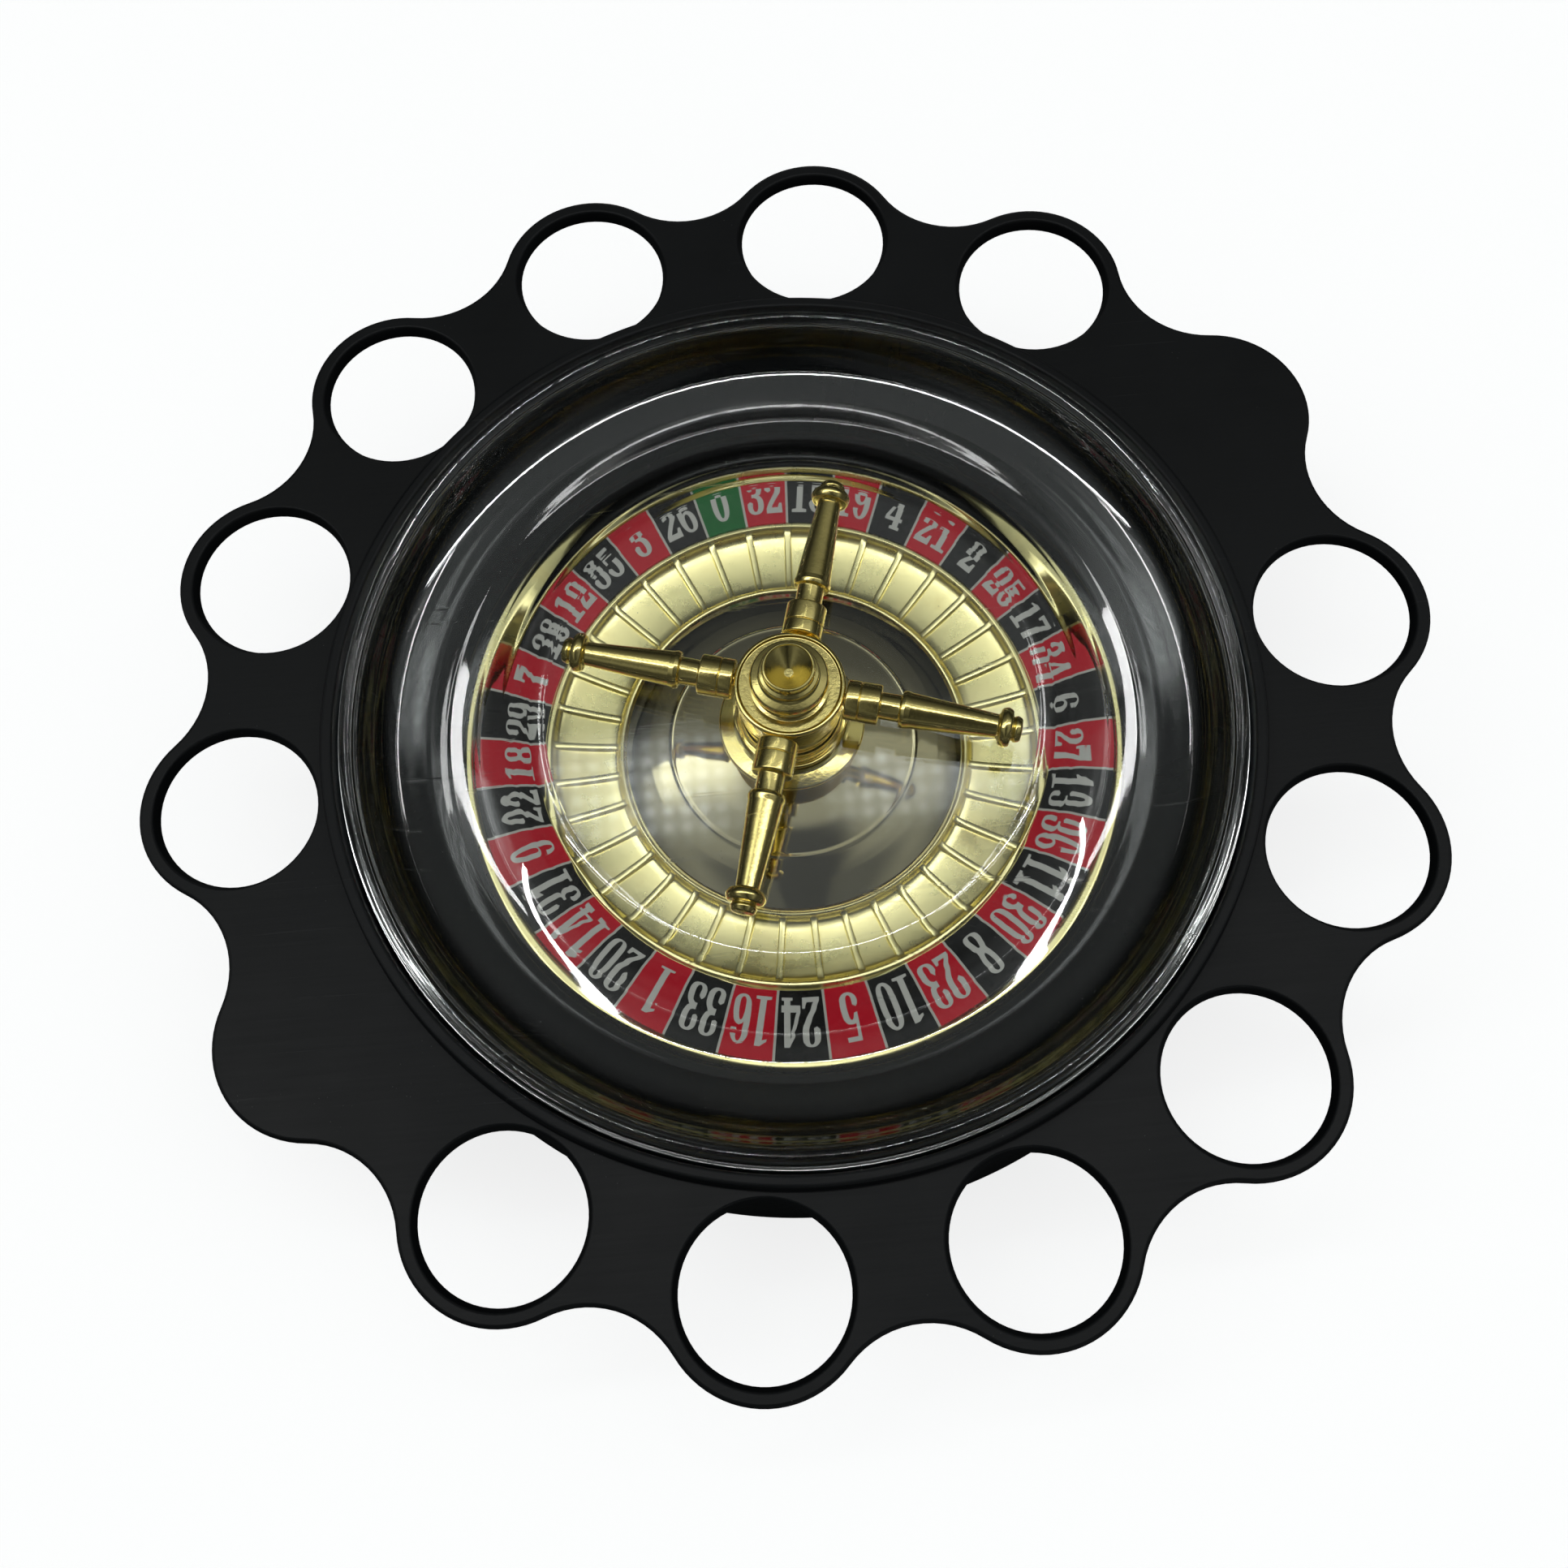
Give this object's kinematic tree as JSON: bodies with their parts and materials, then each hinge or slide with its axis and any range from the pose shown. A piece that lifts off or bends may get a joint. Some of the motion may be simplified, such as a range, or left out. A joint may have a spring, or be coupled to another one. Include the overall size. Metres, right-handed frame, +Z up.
{
  "type": "roulette wheel",
  "caption": "Party roulette wheel: scalloped tray with glass holes around a covered bowl, a numbered spinning rotor and a gold four-armed turret.",
  "frame": {"origin": "on the wheel's axis at the table the feet stand on", "axes": "+Z up along the wheel's axis, +Y away from a person looking at the wheel with the zero pocket at the far side"},
  "size_m": [0.2802, 0.2794, 0.067],
  "materials": {
    "satin_black": "satin moulded black",
    "gloss_black": "high gloss black",
    "clear_plastic": "clear moulded plastic, polished",
    "black_rubber": "matt rubber",
    "steel": "zinc plated",
    "nylon": "natural nylon",
    "brass": "turned brass",
    "gold_plate": "bright gold plating",
    "number_print": "printed number ring in red, black and green",
    "champagne_mirror": "polished metal mirror"
  },
  "bodies": {
    "base": {"glass_tray": "satin_black", "base_plate": "satin_black", "bowl": "gloss_black", "clear_cover": "clear_plastic", "rubber_foot_1": "black_rubber", "rubber_foot_2": "black_rubber", "rubber_foot_3": "black_rubber", "rubber_foot_4": "black_rubber", "base_screw_1": "steel", "base_screw_2": "steel", "base_screw_3": "steel", "base_screw_4": "steel", "spindle": "steel", "spindle_washer": "steel", "spindle_nut": "steel", "thrust_washer": "nylon"},
    "wheel": {"rotor": "gold_plate", "rotor_bushing": "brass", "number_ring": "number_print", "centre_dome": "champagne_mirror", "turret_collar": "gold_plate", "turret_barrel": "gold_plate", "turret_hub": "gold_plate", "turret_arm_1": "gold_plate", "turret_arm_2": "gold_plate", "turret_arm_3": "gold_plate", "turret_arm_4": "gold_plate", "turret_knob": "gold_plate", "turret_stud": "steel"}
  },
  "joints": [
    {"name": "wheel_spin", "type": "hinge", "parent": "base", "child": "wheel", "pos_m": [0, 0, 0.02], "axis": [0, 0, 1], "continuous": true}
  ]
}
